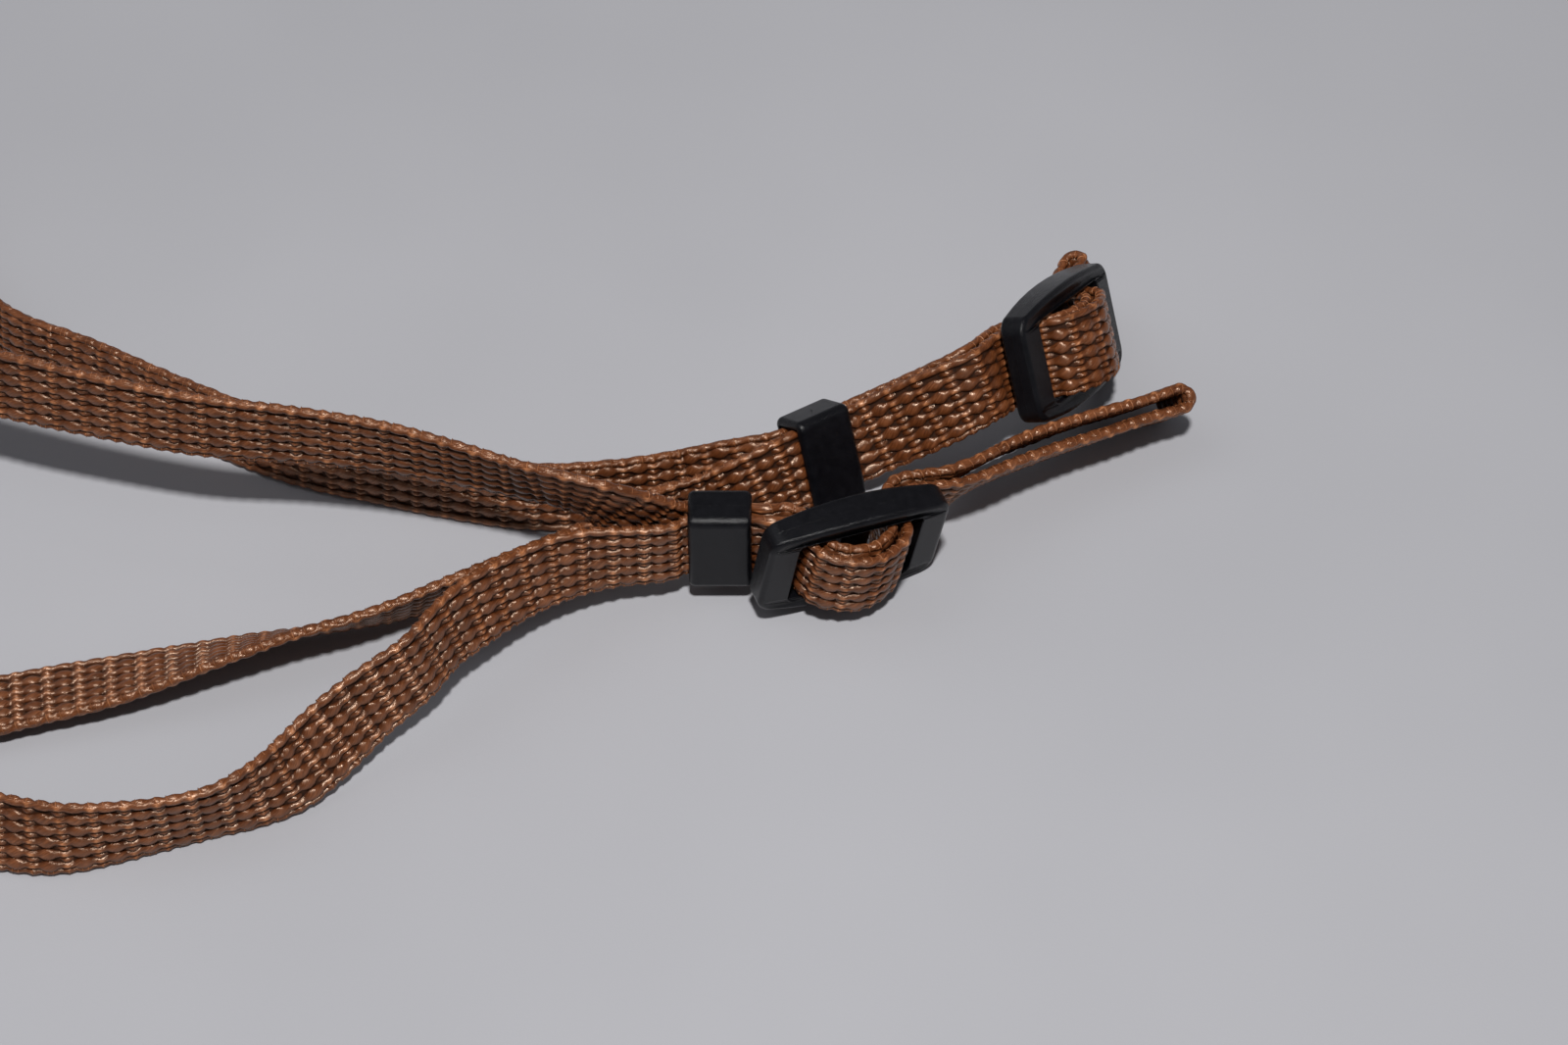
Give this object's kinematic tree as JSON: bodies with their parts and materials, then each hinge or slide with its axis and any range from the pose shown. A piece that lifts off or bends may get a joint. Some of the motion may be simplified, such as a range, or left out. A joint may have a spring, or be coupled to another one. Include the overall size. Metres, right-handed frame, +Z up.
{
  "type": "camera neck strap",
  "caption": "Narrow woven camera neck strap as one long loop, each end folded through a plastic keeper and three-bar buckle into an eye for a camera's strap lug.",
  "frame": {"origin": "middle of the bounding box, at the surface that the strap lies on", "axes": "+X along the strap towards its two ends, +Y away from the viewer across the loop, +Z up"},
  "size_m": [0.3896, 0.2122, 0.0242],
  "materials": {
    "strap_main_nylon": "woven, matt with a slight sheen",
    "front_end_nylon": "woven, matt with a slight sheen",
    "back_end_nylon": "woven, matt with a slight sheen",
    "front_tail_nylon": "woven, matt with a slight sheen",
    "back_tail_nylon": "woven, matt with a slight sheen",
    "front_keeper_plastic": "satin, finely speckled",
    "back_keeper_plastic": "satin, finely speckled",
    "front_buckle_plastic": "satin, finely speckled",
    "back_buckle_plastic": "satin, finely speckled"
  },
  "bodies": {
    "root": {"strap_main": "strap_main_nylon", "front_end": "front_end_nylon", "back_end": "back_end_nylon", "front_tail": "front_tail_nylon", "back_tail": "back_tail_nylon", "front_keeper": "front_keeper_plastic", "back_keeper": "back_keeper_plastic", "front_buckle": "front_buckle_plastic", "back_buckle": "back_buckle_plastic"}
  },
  "joints": []
}
